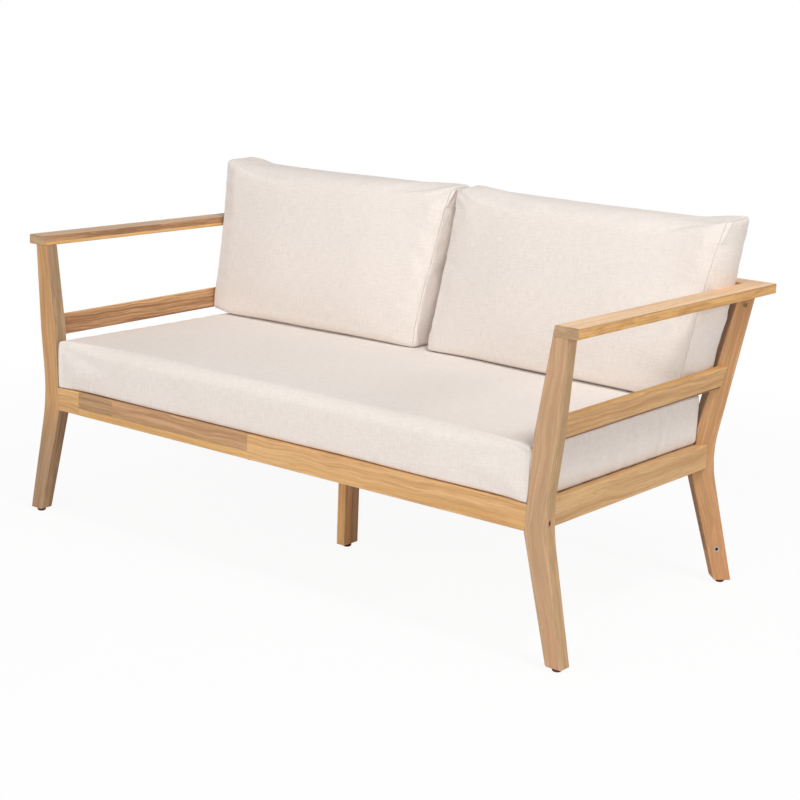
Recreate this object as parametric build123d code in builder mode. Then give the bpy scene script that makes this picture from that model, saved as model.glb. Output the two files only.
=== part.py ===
from build123d import *

import os
from dataclasses import dataclass
from math import cos, radians, sin, tan

# Patio loveseat: hardwood frame, a loose seat cushion and two loose back cushions.
# Millimetres, +Z up. The seat faces -Y, and left and right are as seen from the front,
# so +X is the right end. The origin is on the floor, in the middle of the frame.

os.makedirs("parts", exist_ok=True)

# Frame envelope
frame_width = 1447.0
frame_depth = 748.0
arm_height = 640.0
glide_height = 8.0
edge_radius = 2.5
overrun = 30.0

# Armrests and back top rail, one board section mitred round three sides
cap_width = 50.0
cap_thickness = 21.0
cap_bevel = 4.0

# Front legs, seen from the front
front_leg_thickness = 32.0
front_knee_inset = 92.5

# Back legs, set diagonally across the rear corners
back_leg_thickness = 37.0
back_knee_side_inset = 89.7
back_knee_rear_inset = 134.2

# Seat frame
seat_rail_height = 52.0
seat_rail_top = 304.0
front_rail_thickness = 25.0
front_rail_recess = 1.0
side_rail_thickness = 23.0
side_rail_inset = 69.0
back_rail_thickness = 23.0
back_rail_inset = 85.0

# Middle rails of the arms and the back
mid_rail_height = 46.0
mid_rail_thickness = 16.0
mid_rail_lean = 11.4
arm_mid_rail_inset = 63.3
arm_mid_rail_level = 440.7
arm_mid_rail_rise = 7.2
arm_mid_rail_spread = 2.8
back_mid_rail_inset = 71.6
back_mid_rail_level = 447.0

# Slats, cleats and centre support
slat_count = 7
slat_width = 60.0
slat_thickness = 15.0
slat_end_gap = 1.0
cleat_width = 20.0
cleat_height = 25.0
cleat_front_gap = 6.0
cleat_rear_gap = 26.0
beam_thickness = 23.0
beam_offset = 15.4
centre_leg_width = 22.0
centre_leg_depth = 48.0
centre_leg_setback = 286.1

# Feet
glide_radius = 9.5
glide_edge = 2.0

# Tenons of the rails and the leg heads, and the play of their mortises
tenon_length = 10.0
tenon_thickness = 8.0
seat_tenon_height = 36.0
mid_tenon_height = 30.0
beam_tenon_height = 22.0
head_tenon_width = 16.0
head_tenon_depth = 14.0
mortise_play = 0.1
mortise_end_play = 0.3

# Fasteners
screw_radius = 2.0
screw_head_radius = 4.2
screw_tip = 5.0
screw_gap = 0.1
countersink_angle = 82.0
slat_screw_length = 32.0
cleat_screw_count = 3
cleat_screw_length = 36.0
cleat_screw_height_share = 0.34
leg_screw_length = 38.0
leg_screw_spacing = 18.0
head_bolt_radius = 3.0
head_bolt_head_radius = 5.2
head_bolt_head_height = 4.0
head_bolt_sink = 1.5
head_bolt_socket_radius = 2.3
head_bolt_socket_depth = 2.5
head_bolt_drop = 19.0
head_bolt_across = 84.6
counterbore_gap = 0.4
foot_insert_radius = 5.9
foot_insert_length = 13.0
foot_insert_bore_radius = 3.2
foot_insert_height = 77.0
foot_insert_across = 67.0
head_block_height = 28.0
head_block_depth = 24.0
head_block_width = 27.0

# Seat cushion
soft_clearance = 0.3
seat_cushion_front_reach = 4.0
seat_cushion_mid_reach = 7.0
seat_cushion_rear_inset = 2.8
seat_cushion_setback = 0.6
seat_cushion_rear_gap = 6.4
seat_cushion_edge_height = 99.0
seat_cushion_side_swell = 6.0
seat_cushion_crown = 9.5
seat_cushion_crown_reach = 90.0
seat_cushion_front_draw = 4.0
seat_cushion_front_corner = 7.0
seat_cushion_rear_corner = 45.0

# Back cushions
back_cushion_height = 370.0
back_cushion_foot_inset = 17.2
back_cushion_flare = 39.0
back_cushion_rear_gap = 27.4
back_cushion_foot_thickness = 125.0
back_cushion_front_turn = 2.4
back_cushion_rear_turn = 1.2
back_cushion_front_lean = 13.5
back_cushion_rear_lean = 8.5
back_cushion_front_crown = 16.0
back_cushion_rear_crown = 5.0
back_cushion_crown_reach = 110.0
back_cushion_side_draw = 9.0
back_cushion_inner_draw = 6.0
back_cushion_top_draw = 11.0
back_cushion_gusset_swell = 5.0
back_cushion_corner = 14.0
right_cushion_foot_x = 0.0
right_cushion_head_x = 2.0
left_cushion_foot_x = -48.0
left_cushion_head_x = -16.0

# How the cushions swell: shares of the edge height, of the side swell, of the crown's reach
# inwards from a seam, and of its full depth
seat_side_shares = ((0.0, 1.0), (0.14, 0.28), (0.5, 0.0), (0.86, 0.28), (1.0, 1.0))
seat_crown_shares = ((0.0, 0.0), (0.4, 0.7), (1.0, 1.0))
back_crown_shares = ((0.0, 0.0), (0.36, 0.68), (1.0, 1.0))

# Places that follow from the sizes above
half_width = frame_width / 2
front_y = -frame_depth / 2
back_y = frame_depth / 2
cap_underside = arm_height - cap_thickness
front_leg_back_y = front_y + front_leg_thickness
front_knee_x = half_width - front_knee_inset
back_knee_x = half_width - back_knee_side_inset
back_knee_y = back_y - back_knee_rear_inset
seat_rail_bottom = seat_rail_top - seat_rail_height
front_rail_y = front_y + front_rail_recess
front_rail_back_y = front_rail_y + front_rail_thickness
side_rail_outer_x = half_width - side_rail_inset
side_rail_inner_x = side_rail_outer_x - side_rail_thickness
back_rail_rear_y = back_y - back_rail_inset
back_rail_front_y = back_rail_rear_y - back_rail_thickness
slat_bottom = seat_rail_top - slat_thickness
cleat_inner_x = side_rail_inner_x - cleat_width
cleat_bottom = slat_bottom - cleat_height
beam_left_x = -beam_offset - beam_thickness / 2
beam_right_x = -beam_offset + beam_thickness / 2
centre_leg_left_x = beam_left_x - centre_leg_width
centre_leg_front_y = front_y + centre_leg_setback
centre_leg_back_y = centre_leg_front_y + centre_leg_depth
screw_hole_radius = screw_radius + screw_gap
screw_seat_radius = screw_head_radius + screw_gap
seat_cushion_bottom = seat_rail_top + soft_clearance
seat_cushion_edge = seat_cushion_bottom + seat_cushion_edge_height
seat_cushion_front_x = front_knee_x + seat_cushion_front_reach
seat_cushion_mid_x = front_knee_x + seat_cushion_mid_reach
seat_cushion_rear_x = back_knee_x - seat_cushion_rear_inset
seat_cushion_front_y = front_y + seat_cushion_setback
seat_cushion_rear_y = back_rail_front_y - seat_cushion_rear_gap
back_cushion_base = seat_cushion_edge + seat_cushion_crown + soft_clearance
back_cushion_foot_x = half_width - arm_mid_rail_inset - back_cushion_foot_inset
back_cushion_head_x = back_cushion_foot_x + back_cushion_flare
back_cushion_rear_y = back_y - back_mid_rail_inset - back_cushion_rear_gap
back_cushion_front_y = back_cushion_rear_y - back_cushion_foot_thickness


@dataclass
class LegShape:
    """Outline of a leg's broad face, measured outwards from the inner corner of its knee."""

    knee_height: float
    waist_height: float
    waist_lean: float
    waist_width: float
    head_lean: float
    head_width: float
    bend_height: float
    bend_reach: float
    bend_radius: float
    foot_splay: float
    foot_width: float
    toe_radius: float


front_leg_shape = LegShape(
    knee_height=250.0,
    waist_height=434.0,
    waist_lean=10.0,
    waist_width=49.0,
    head_lean=38.0,
    head_width=33.5,
    bend_height=280.0,
    bend_reach=42.0,
    bend_radius=400.0,
    foot_splay=62.5,
    foot_width=34.0,
    toe_radius=5.0,
)
back_leg_shape = LegShape(
    knee_height=236.0,
    waist_height=340.0,
    waist_lean=5.0,
    waist_width=47.3,
    head_lean=70.1,
    head_width=36.1,
    bend_height=277.0,
    bend_reach=40.1,
    bend_radius=264.0,
    foot_splay=66.0,
    foot_width=37.0,
    toe_radius=6.0,
)


@dataclass
class Joint:
    """A tenon: middle of its shoulder, with z out of its mortise, and the size of its section."""

    seat: Plane
    height: float
    thickness: float = tenon_thickness


def save(piece, name):
    """Label a finished piece and write it under its own name."""
    piece.part.label = name
    export_step(piece.part, f"parts/{name}.step")


def mirrored(piece):
    """The same piece at the left end of the frame."""
    return piece.part.mirror(Plane.YZ)


def leg_outline(shape):
    """Broad face of a leg: x runs outwards from the knee, y is the height above the floor."""
    toe_in = (shape.foot_splay, glide_height)
    toe_out = (shape.foot_splay + shape.foot_width, glide_height)
    bend = (shape.bend_reach, shape.bend_height)
    with BuildSketch() as outline:
        with BuildLine():
            Polyline(
                toe_in,
                (0, shape.knee_height),
                (shape.waist_lean, shape.waist_height),
                (shape.head_lean, cap_underside),
                (shape.head_lean + shape.head_width, cap_underside),
                (shape.waist_lean + shape.waist_width, shape.waist_height),
                bend,
                toe_out,
                close=True,
            )
        make_face()
        fillet(outline.vertices().sort_by_distance(bend)[0], radius=shape.bend_radius)
        fillet(outline.vertices().sort_by_distance(toe_in)[0], radius=shape.toe_radius)
    return outline.sketch


def cap_section():
    """Section of an armrest board: x runs inwards from its outer side, y up from its underside."""
    with BuildSketch() as section:
        with BuildLine():
            Polyline(
                (0, 0),
                (cap_width + cap_bevel, 0),
                (cap_width, cap_thickness),
                (0, cap_thickness),
                close=True,
            )
        make_face()
        fillet(section.vertices(), radius=edge_radius)
    return section.sketch


def mid_rail_section():
    """Section of a middle rail about its own centre, with eased edges."""
    with BuildSketch() as section:
        RectangleRounded(mid_rail_thickness, mid_rail_height, edge_radius)
    return section.sketch


def board(low, high, grain):
    """A straight board between two opposite corners, its edges along the grain eased."""
    size = [far - near for near, far in zip(low, high)]
    with BuildPart() as plank:
        with Locations(low):
            Box(*size, align=(Align.MIN, Align.MIN, Align.MIN))
        fillet(plank.edges().filter_by(grain), radius=edge_radius)
    return plank.part


def seat_on(face, line, across):
    """Seat of a tenon where the middle line of its rail meets a face of a leg."""
    return Plane(origin=line.intersect(face), x_dir=across, z_dir=face.z_dir)


def tenon_block(seat, thickness, height, length):
    """Block that reaches from a joint's shoulder into the piece behind it."""
    with BuildPart() as block:
        with BuildSketch(seat):
            Rectangle(thickness, height)
        extrude(amount=-length)
    return block.part


def tenon(joint):
    """Tenon of a joint, standing out of the shoulder of the piece that carries it."""
    return tenon_block(joint.seat, joint.thickness, joint.height, tenon_length)


def mortise(joint):
    """Pocket for the same tenon, with play round it and at its end."""
    return tenon_block(
        joint.seat,
        joint.thickness + 2 * mortise_play,
        joint.height + 2 * mortise_play,
        tenon_length + mortise_end_play,
    )


def wood_screw(length):
    """Countersunk screw with its head flush at z = 0 and its point down."""
    head_depth = (screw_head_radius - screw_radius) / tan(radians(countersink_angle / 2))
    with BuildPart() as screw:
        with BuildSketch(Plane.XZ):
            with BuildLine():
                Polyline(
                    (0, 0),
                    (screw_head_radius, 0),
                    (screw_radius, -head_depth),
                    (screw_radius, screw_tip - length),
                    (0, -length),
                    close=True,
                )
            make_face()
        revolve(axis=Axis.Z)
    return screw.part


def socket_bolt(shank_length):
    """Socket bolt with the top of its head at z = 0 and its shank down."""
    with BuildPart() as bolt:
        Cylinder(
            head_bolt_head_radius,
            head_bolt_head_height,
            align=(Align.CENTER, Align.CENTER, Align.MAX),
        )
        with Locations((0, 0, -head_bolt_head_height)):
            Cylinder(
                head_bolt_radius,
                shank_length,
                align=(Align.CENTER, Align.CENTER, Align.MAX),
            )
        with BuildSketch(Plane.XY):
            RegularPolygon(head_bolt_socket_radius, side_count=6)
        extrude(amount=-head_bolt_socket_depth, mode=Mode.SUBTRACT)
    return bolt.part


def seat_outline(inset):
    """Plan of the seat cushion, drawn in by the inset on every side."""
    front = seat_cushion_front_y + inset
    rear = seat_cushion_rear_y - inset
    middle = (front + rear) / 2
    front_x = seat_cushion_front_x - inset
    mid_x = seat_cushion_mid_x - inset
    rear_x = seat_cushion_rear_x - inset
    with BuildSketch() as plan:
        with BuildLine():
            ThreePointArc((-front_x, front), (0, front + seat_cushion_front_draw), (front_x, front))
            ThreePointArc((front_x, front), (mid_x, middle), (rear_x, rear))
            Line((rear_x, rear), (-rear_x, rear))
            ThreePointArc((-rear_x, rear), (-mid_x, middle), (-front_x, front))
        make_face()
        fillet(plan.vertices().group_by(Axis.Y)[0], radius=seat_cushion_front_corner)
        fillet(plan.vertices().group_by(Axis.Y)[-1], radius=seat_cushion_rear_corner)
    return plan.sketch


def back_cushion_outline(side, foot_width, head_width, inner_lean, spread, lift):
    """Face of a back cushion: y runs up its slope, x towards +X from its inner bottom corner.

    The spread pushes the sides and the top out from the seams, and the lift raises the foot.
    """
    head = back_cushion_height + spread
    middle = (lift + head) / 2
    inner_foot = (-side * spread, lift)
    inner_head = (inner_lean - side * spread, head)
    outer_foot = (side * (foot_width + spread), lift)
    outer_head = (inner_lean + side * (head_width + spread), head)
    inner_waist = ((inner_foot[0] + inner_head[0]) / 2 + side * back_cushion_inner_draw, middle)
    outer_waist = ((outer_foot[0] + outer_head[0]) / 2 - side * back_cushion_side_draw, middle)
    top_waist = ((inner_head[0] + outer_head[0]) / 2, head - back_cushion_top_draw)
    with BuildSketch() as face:
        with BuildLine():
            Line(inner_foot, outer_foot)
            ThreePointArc(outer_foot, outer_waist, outer_head)
            ThreePointArc(outer_head, top_waist, inner_head)
            ThreePointArc(inner_head, inner_waist, inner_foot)
        make_face()
        fillet(face.vertices(), radius=back_cushion_corner)
    return face.sketch


def back_cushion_plane(side, seam_x, seam_y, lean_angle, turn_angle):
    """Leaning plane through a cushion's inner bottom corner, turned so its outer end is forward."""
    turn = side * radians(turn_angle)
    lean = radians(lean_angle)
    across = Vector(cos(turn), -sin(turn), 0)
    up = Vector(sin(turn) * sin(lean), cos(turn) * sin(lean), cos(lean))
    return Plane(origin=(seam_x, seam_y, back_cushion_base), x_dir=across, z_dir=across.cross(up))


def back_cushion(side, foot_x, head_x):
    """One back cushion: crowned front, swollen gusset and crowned back, meeting at two seams."""
    foot_width = back_cushion_foot_x - side * foot_x
    head_width = back_cushion_head_x - side * head_x
    front_seat = (back_cushion_front_y, back_cushion_front_lean, back_cushion_front_turn)
    rear_seat = (back_cushion_rear_y, back_cushion_rear_lean, back_cushion_rear_turn)
    middle_seat = [(near + far) / 2 for near, far in zip(front_seat, rear_seat)]
    front = back_cushion_plane(side, foot_x, *front_seat)
    middle = back_cushion_plane(side, foot_x, *middle_seat)
    rear = back_cushion_plane(side, foot_x, *rear_seat)

    def outline(spread, lift):
        return back_cushion_outline(side, foot_width, head_width, head_x - foot_x, spread, lift)

    def crown(plane, depth):
        sections = []
        for reach_share, depth_share in back_crown_shares:
            reach = reach_share * back_cushion_crown_reach
            sections.append(plane.offset(depth * depth_share) * outline(-reach, reach))
        return sections

    seam = outline(0, 0)
    swollen = outline(back_cushion_gusset_swell, 0)
    front_sections = crown(front, back_cushion_front_crown)
    rear_sections = crown(rear, -back_cushion_rear_crown)
    with BuildPart() as cushion:
        loft([front * seam, middle * swollen, rear * seam])
        loft(front_sections)
        loft(rear_sections)
    return cushion.part


# Planes of the legs and the mitres
front_leg_plane = Plane(
    origin=(front_knee_x, front_leg_back_y, 0),
    x_dir=(1, 0, 0),
    z_dir=(0, -1, 0),
)
leg_face_right = Plane(origin=(back_knee_x, back_knee_y, 0), x_dir=(1, 1, 0), z_dir=(1, -1, 0))
leg_face_left = Plane(origin=(-back_knee_x, back_knee_y, 0), x_dir=(1, -1, 0), z_dir=(-1, -1, 0))
leg_rear_right = leg_face_right.offset(-back_leg_thickness)
leg_rear_left = leg_face_left.offset(-back_leg_thickness)
mitre_right = Plane(origin=(half_width, back_y, 0), z_dir=(1, -1, 0))
mitre_left = Plane(origin=(-half_width, back_y, 0), z_dir=(-1, -1, 0))

# Joints of the right end; each line is the middle of a rail, and the left end mirrors them
seat_rail_middle_z = (seat_rail_bottom + seat_rail_top) / 2
side_rail_line = Axis(((side_rail_inner_x + side_rail_outer_x) / 2, 0, seat_rail_middle_z), (0, 1, 0))
back_rail_line = Axis((0, (back_rail_front_y + back_rail_rear_y) / 2, seat_rail_middle_z), (1, 0, 0))
arm_rail_run = back_knee_y - front_leg_back_y
arm_rail_line = Axis(
    (half_width - arm_mid_rail_inset, front_leg_back_y, arm_mid_rail_level),
    (arm_mid_rail_spread, arm_rail_run, arm_mid_rail_rise),
)
back_mid_line = Axis((0, back_y - back_mid_rail_inset, back_mid_rail_level), (1, 0, 0))
front_leg_back = Plane(origin=(0, front_leg_back_y, 0), z_dir=(0, 1, 0))
back_leg_rear = Plane(origin=leg_rear_right.origin, x_dir=(-1, -1, 0), z_dir=(-1, 1, 0))
mid_tilt = radians(mid_rail_lean)
lean_across = Vector(-cos(mid_tilt), 0, sin(mid_tilt))
lean_up = Vector(sin(mid_tilt), sin(mid_tilt), cos(mid_tilt))
front_head_across = front_leg_shape.head_lean + front_leg_shape.head_width / 2
back_head_across = back_leg_shape.head_lean + back_leg_shape.head_width / 2
beam_middle_z = (seat_rail_bottom + slat_bottom) / 2
front_rail_joint = Joint(
    Plane(
        origin=(front_knee_x, (front_rail_y + front_rail_back_y) / 2, seat_rail_middle_z),
        x_dir=(0, 1, 0),
        z_dir=(-1, 0, 0),
    ),
    seat_tenon_height,
)
side_rail_front_joint = Joint(seat_on(front_leg_back, side_rail_line, (-1, 0, 0)), seat_tenon_height)
side_rail_rear_joint = Joint(seat_on(leg_face_right, side_rail_line, (1, 1, 0)), seat_tenon_height)
back_rail_joint = Joint(seat_on(back_leg_rear, back_rail_line, (-1, -1, 0)), seat_tenon_height)
arm_rail_front_joint = Joint(seat_on(front_leg_back, arm_rail_line, lean_across), mid_tenon_height)
arm_rail_rear_joint = Joint(
    seat_on(leg_face_right, arm_rail_line, lean_up.cross(leg_face_right.z_dir)),
    mid_tenon_height,
)
back_mid_joint = Joint(
    seat_on(back_leg_rear, back_mid_line, lean_up.cross(back_leg_rear.z_dir)),
    mid_tenon_height,
)
front_head_joint = Joint(
    Plane(
        origin=(front_knee_x + front_head_across, (front_y + front_leg_back_y) / 2, cap_underside),
        x_dir=(1, 0, 0),
        z_dir=(0, 0, -1),
    ),
    head_tenon_depth,
    head_tenon_width,
)
back_head_middle = (back_head_across, cap_underside, -back_leg_thickness / 2)
back_head_joint = Joint(
    Plane(
        origin=leg_face_right.from_local_coords(back_head_middle),
        x_dir=(1, 1, 0),
        z_dir=(0, 0, -1),
    ),
    head_tenon_depth,
    head_tenon_width,
)
beam_front_joint = Joint(
    Plane(origin=(-beam_offset, front_rail_back_y, beam_middle_z), x_dir=(-1, 0, 0), z_dir=(0, 1, 0)),
    beam_tenon_height,
)
beam_rear_joint = Joint(
    Plane(origin=(-beam_offset, back_rail_front_y, beam_middle_z), x_dir=(1, 0, 0), z_dir=(0, -1, 0)),
    beam_tenon_height,
)

# Front legs
front_leg_outline = leg_outline(front_leg_shape)
with BuildPart() as front_leg_blank:
    with BuildSketch(front_leg_plane):
        add(front_leg_outline)
    extrude(amount=front_leg_thickness)
    broad_faces = front_leg_blank.faces().sort_by(SortBy.AREA)[-2:]
    fillet(broad_faces.edges(), radius=edge_radius)

with BuildPart() as front_leg_right:
    add(front_leg_blank.part)
    for joint in (front_rail_joint, side_rail_front_joint, arm_rail_front_joint):
        add(mortise(joint), mode=Mode.SUBTRACT)
    add(tenon(front_head_joint))
save(front_leg_right, "front_leg_right")

with BuildPart() as front_leg_left:
    add(mirrored(front_leg_right))
save(front_leg_left, "front_leg_left")

# Back legs, drilled for the bolt in the head and the insert in the foot
head_bolt_place = leg_face_right.location * Pos(head_bolt_across, cap_underside - head_bolt_drop, 0)
foot_insert_place = leg_face_right.location * Pos(foot_insert_across, foot_insert_height, 0)
back_leg_outline = leg_outline(back_leg_shape)
with BuildPart() as back_leg_right:
    with BuildSketch(leg_face_right):
        add(back_leg_outline)
    extrude(amount=-back_leg_thickness)
    broad_faces = back_leg_right.faces().sort_by(SortBy.AREA)[-2:]
    fillet(broad_faces.edges(), radius=edge_radius)
    with Locations(head_bolt_place):
        CounterBoreHole(
            radius=head_bolt_radius + screw_gap,
            counter_bore_radius=head_bolt_head_radius + counterbore_gap,
            counter_bore_depth=head_bolt_sink + head_bolt_head_height,
            depth=back_leg_thickness,
        )
    with Locations(foot_insert_place):
        Hole(radius=foot_insert_radius, depth=foot_insert_length)
    for joint in (side_rail_rear_joint, back_rail_joint, arm_rail_rear_joint, back_mid_joint):
        add(mortise(joint), mode=Mode.SUBTRACT)
    add(tenon(back_head_joint))
save(back_leg_right, "back_leg_right")

with BuildPart() as back_leg_left:
    add(mirrored(back_leg_right))
save(back_leg_left, "back_leg_left")

# Armrests and back top rail
arm_section = cap_section()
armrest_start = Plane((half_width, front_y, cap_underside), x_dir=(-1, 0, 0), z_dir=(0, 1, 0))
top_rail_start = Plane((half_width, back_y, cap_underside), x_dir=(0, -1, 0), z_dir=(-1, 0, 0))
with BuildPart() as armrest_right:
    with BuildSketch(armrest_start):
        add(arm_section)
    extrude(amount=frame_depth)
    split(bisect_by=mitre_right, keep=Keep.TOP)
    for joint in (front_head_joint, back_head_joint):
        add(mortise(joint), mode=Mode.SUBTRACT)
save(armrest_right, "armrest_right")

with BuildPart() as armrest_left:
    add(mirrored(armrest_right))
save(armrest_left, "armrest_left")

with BuildPart() as back_top_rail:
    with BuildSketch(top_rail_start):
        add(arm_section)
    extrude(amount=frame_width)
    split(bisect_by=mitre_right, keep=Keep.BOTTOM)
    split(bisect_by=mitre_left, keep=Keep.BOTTOM)
save(back_top_rail, "back_top_rail")

# Seat frame: the front rail fits between the front legs' inner edges, the side rails between
# the front legs' backs and the back legs' broad faces, and the back rail between the back legs
front_rail_board = board(
    (-front_knee_x - overrun, front_rail_y, seat_rail_bottom),
    (front_knee_x + overrun, front_rail_back_y, seat_rail_top),
    Axis.X,
)
with BuildPart() as seat_front_rail:
    add(front_rail_board)
    add(front_leg_blank.part, mode=Mode.SUBTRACT)
    add(mirrored(front_leg_blank), mode=Mode.SUBTRACT)
    add(tenon(front_rail_joint))
    add(tenon(front_rail_joint).mirror(Plane.YZ))
    add(mortise(beam_front_joint), mode=Mode.SUBTRACT)
save(seat_front_rail, "seat_front_rail")

cleat_front_y = front_rail_back_y + cleat_front_gap
cleat_rear_y = back_rail_front_y - cleat_rear_gap
cleat_screw_pitch = (cleat_rear_y - cleat_front_y) / (cleat_screw_count + 1)
cleat_screw_z = cleat_bottom + cleat_height * cleat_screw_height_share
cleat_screw_places = [
    Location((cleat_inner_x, cleat_front_y + cleat_screw_pitch * step, cleat_screw_z), (0, -90, 0))
    for step in range(1, cleat_screw_count + 1)
]
side_rail_board = board(
    (side_rail_inner_x, front_leg_back_y, seat_rail_bottom),
    (side_rail_outer_x, back_knee_y + overrun, seat_rail_top),
    Axis.Y,
)
with BuildPart() as seat_side_rail_right:
    add(side_rail_board)
    split(bisect_by=leg_face_right, keep=Keep.TOP)
    add(tenon(side_rail_front_joint))
    add(tenon(side_rail_rear_joint))
    with Locations(*cleat_screw_places):
        Hole(radius=screw_hole_radius, depth=cleat_screw_length + screw_gap)
save(seat_side_rail_right, "seat_side_rail_right")

with BuildPart() as seat_side_rail_left:
    add(mirrored(seat_side_rail_right))
save(seat_side_rail_left, "seat_side_rail_left")

back_rail_board = board(
    (-back_knee_x - overrun, back_rail_front_y, seat_rail_bottom),
    (back_knee_x + overrun, back_rail_rear_y, seat_rail_top),
    Axis.X,
)
with BuildPart() as seat_back_rail:
    add(back_rail_board)
    split(bisect_by=leg_rear_right, keep=Keep.BOTTOM)
    split(bisect_by=leg_rear_left, keep=Keep.BOTTOM)
    add(tenon(back_rail_joint))
    add(tenon(back_rail_joint).mirror(Plane.YZ))
    add(mortise(beam_rear_joint), mode=Mode.SUBTRACT)
save(seat_back_rail, "seat_back_rail")

# Middle rails, leaning outwards at the top
rail_section = mid_rail_section()
arm_rail_start = Plane(
    origin=arm_rail_line.position,
    x_dir=lean_across,
    z_dir=arm_rail_line.direction,
)
with BuildPart() as arm_mid_rail_right:
    with BuildSketch(arm_rail_start.offset(-overrun)):
        add(rail_section)
    extrude(amount=arm_rail_run + overrun * 3)
    split(bisect_by=front_leg_back, keep=Keep.TOP)
    split(bisect_by=leg_face_right, keep=Keep.TOP)
    add(tenon(arm_rail_front_joint))
    add(tenon(arm_rail_rear_joint))
save(arm_mid_rail_right, "arm_mid_rail_right")

with BuildPart() as arm_mid_rail_left:
    add(mirrored(arm_mid_rail_right))
save(arm_mid_rail_left, "arm_mid_rail_left")

back_rail_start = Plane(
    origin=(-half_width, back_y - back_mid_rail_inset, back_mid_rail_level),
    x_dir=(0, cos(mid_tilt), -sin(mid_tilt)),
    z_dir=(1, 0, 0),
)
with BuildPart() as back_mid_rail:
    with BuildSketch(back_rail_start):
        add(rail_section)
    extrude(amount=frame_width)
    split(bisect_by=leg_rear_right, keep=Keep.BOTTOM)
    split(bisect_by=leg_rear_left, keep=Keep.BOTTOM)
    add(tenon(back_mid_joint))
    add(tenon(back_mid_joint).mirror(Plane.YZ))
save(back_mid_rail, "back_mid_rail")

# Where the slat screws go: one over each cleat and one over the centre beam
slat_pitch = (back_rail_front_y - front_rail_back_y + slat_width) / (slat_count + 1)
slat_rows = [
    front_rail_back_y - slat_width / 2 + slat_pitch * (row + 1)
    for row in range(slat_count)
]
cleat_middle_x = (side_rail_inner_x + cleat_inner_x) / 2
slat_screw_columns = (-cleat_middle_x, -beam_offset, cleat_middle_x)

# Centre beam, drilled for the slat screws and for the screws of the centre leg
beam_board = board(
    (beam_left_x, front_rail_back_y, seat_rail_bottom),
    (beam_right_x, back_rail_front_y, slat_bottom),
    Axis.Y,
)
centre_leg_middle_y = (centre_leg_front_y + centre_leg_back_y) / 2
leg_screw_places = [
    Location((centre_leg_left_x, centre_leg_middle_y + step, beam_middle_z), (0, -90, 0))
    for step in (-leg_screw_spacing / 2, leg_screw_spacing / 2)
]
with BuildPart() as centre_beam:
    add(beam_board)
    add(tenon(beam_front_joint))
    add(tenon(beam_rear_joint))
    with Locations(*[(-beam_offset, y, slat_bottom) for y in slat_rows]):
        Hole(radius=screw_hole_radius, depth=slat_screw_length - slat_thickness + screw_gap)
    with Locations(*leg_screw_places):
        Hole(radius=screw_hole_radius, depth=leg_screw_length + screw_gap)
save(centre_beam, "centre_beam")

# Slat cleats, screwed along the inner faces of the side rails
cleat_board = board(
    (cleat_inner_x, cleat_front_y, cleat_bottom),
    (side_rail_inner_x, cleat_rear_y, slat_bottom),
    Axis.Y,
)
with BuildPart() as slat_cleat_right:
    add(cleat_board)
    with Locations(*[(cleat_middle_x, y, slat_bottom) for y in slat_rows]):
        Hole(radius=screw_hole_radius, depth=slat_screw_length - slat_thickness + screw_gap)
    with Locations(*cleat_screw_places):
        CounterSinkHole(
            radius=screw_hole_radius,
            counter_sink_radius=screw_seat_radius,
            depth=cleat_width,
            counter_sink_angle=countersink_angle,
        )
save(slat_cleat_right, "slat_cleat_right")

with BuildPart() as slat_cleat_left:
    add(mirrored(slat_cleat_right))
save(slat_cleat_left, "slat_cleat_left")

cleat_screw = wood_screw(cleat_screw_length)
with BuildPart() as cleat_screws:
    with Locations(*cleat_screw_places):
        add(cleat_screw)
    mirror(about=Plane.YZ)
save(cleat_screws, "cleat_screws")

# Seat slats, front to back
for row, slat_y in enumerate(slat_rows, start=1):
    slat_board = board(
        (slat_end_gap - side_rail_inner_x, slat_y - slat_width / 2, slat_bottom),
        (side_rail_inner_x - slat_end_gap, slat_y + slat_width / 2, seat_rail_top),
        Axis.X,
    )
    with BuildPart() as seat_slat:
        add(slat_board)
        with Locations(*[(x, slat_y, seat_rail_top) for x in slat_screw_columns]):
            CounterSinkHole(
                radius=screw_hole_radius,
                counter_sink_radius=screw_seat_radius,
                depth=slat_thickness,
                counter_sink_angle=countersink_angle,
            )
    save(seat_slat, f"seat_slat_{row}")

slat_screw = wood_screw(slat_screw_length)
with BuildPart() as slat_screws:
    with Locations(*[(x, y, seat_rail_top) for x in slat_screw_columns for y in slat_rows]):
        add(slat_screw)
save(slat_screws, "slat_screws")

# Centre leg, lapped against the left side of the beam
centre_leg_board = board(
    (centre_leg_left_x, centre_leg_front_y, glide_height),
    (beam_left_x, centre_leg_back_y, slat_bottom),
    Axis.Z,
)
with BuildPart() as centre_leg:
    add(centre_leg_board)
    with Locations(*leg_screw_places):
        CounterSinkHole(
            radius=screw_hole_radius,
            counter_sink_radius=screw_seat_radius,
            depth=centre_leg_width,
            counter_sink_angle=countersink_angle,
        )
save(centre_leg, "centre_leg")

leg_screw = wood_screw(leg_screw_length)
with BuildPart() as centre_leg_screws:
    with Locations(*leg_screw_places):
        add(leg_screw)
save(centre_leg_screws, "centre_leg_screws")

# Blocks behind the heads of the back legs, and the bolts that reach into them
with BuildPart() as head_block_right:
    with BuildSketch(leg_rear_right):
        with Locations((head_bolt_across, cap_underside - head_block_height / 2)):
            Rectangle(head_block_width, head_block_height)
    extrude(amount=-head_block_depth)
    with Locations(head_bolt_place):
        Hole(radius=head_bolt_radius + screw_gap, depth=back_leg_thickness + head_block_depth)
save(head_block_right, "head_block_right")

with BuildPart() as head_block_left:
    add(mirrored(head_block_right))
save(head_block_left, "head_block_left")

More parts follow.
